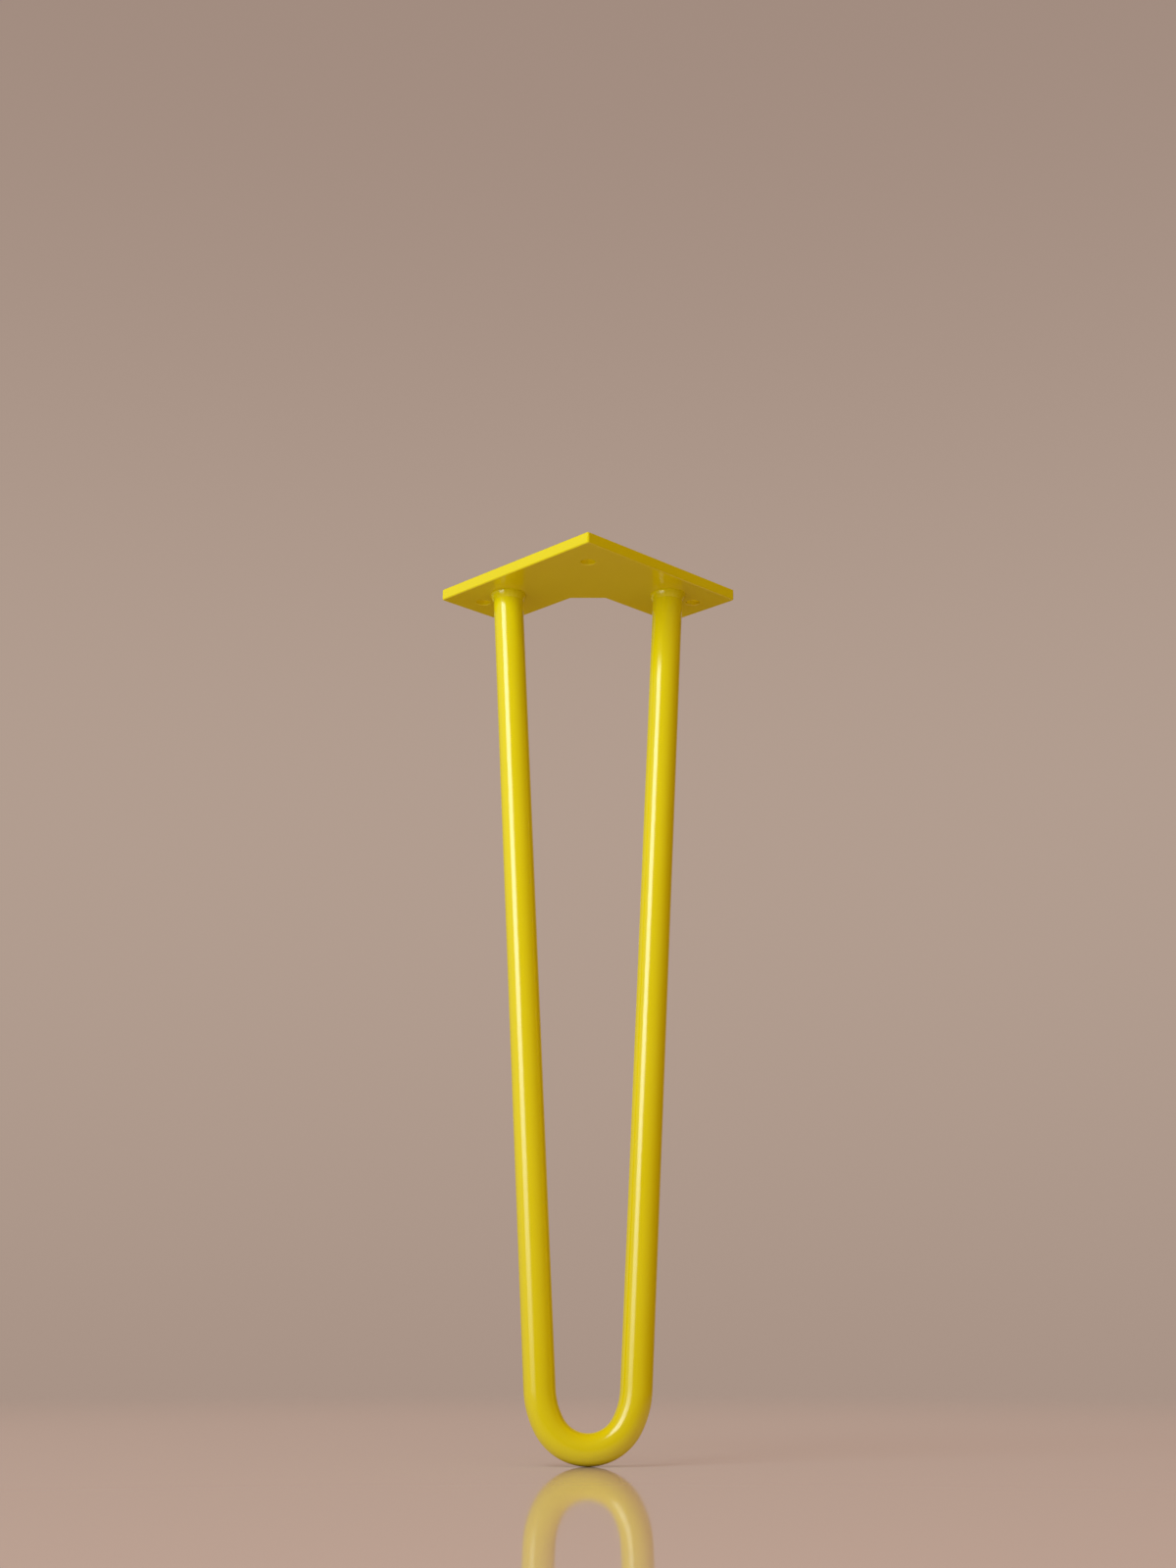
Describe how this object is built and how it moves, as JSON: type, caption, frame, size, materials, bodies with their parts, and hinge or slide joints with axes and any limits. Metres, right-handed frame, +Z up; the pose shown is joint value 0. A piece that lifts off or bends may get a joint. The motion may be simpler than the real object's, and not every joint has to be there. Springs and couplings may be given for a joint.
{
  "type": "hairpin table leg",
  "caption": "Hairpin table leg: a round bar bent into a narrow V with a rounded foot, welded under a flat L-shaped plate that is screwed to the underside of a table top.",
  "frame": {"origin": "on the plate's top face, midway between the two ends of the bar", "axes": "+Z up out of the plate's top face into the table, -Y towards the plate's outer corner, X across the hairpin"},
  "size_m": [0.1194, 0.0847, 0.35],
  "materials": {
    "powder_coat": "glossy yellow powder coat over steel"
  },
  "bodies": {
    "root": {"top_plate": "powder_coat", "hairpin_bar": "powder_coat", "left_weld": "powder_coat", "right_weld": "powder_coat"}
  },
  "joints": []
}
